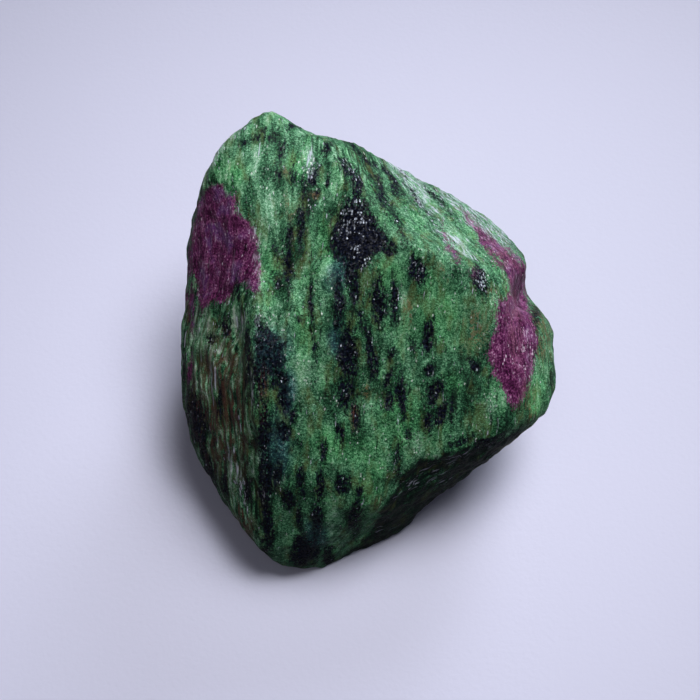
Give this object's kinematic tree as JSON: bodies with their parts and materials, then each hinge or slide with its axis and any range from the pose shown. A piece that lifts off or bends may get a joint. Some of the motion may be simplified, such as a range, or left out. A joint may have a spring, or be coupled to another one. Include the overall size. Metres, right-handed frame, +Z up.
{
  "type": "ruby in zoisite rough stone",
  "caption": "Rough lump of green zoisite with black streaks and purple-red ruby patches, broken along nearly flat faces and lying on one of them.",
  "frame": {"origin": "middle of the outline seen from above, on the surface the stone rests on", "axes": "+Z up from the base, +Y the long way towards the peak, +X across towards the ruby stripe"},
  "size_m": [0.075, 0.0812, 0.0557],
  "materials": {
    "zoisite": "satin"
  },
  "bodies": {
    "root": {"rough_stone": "zoisite"}
  },
  "joints": []
}
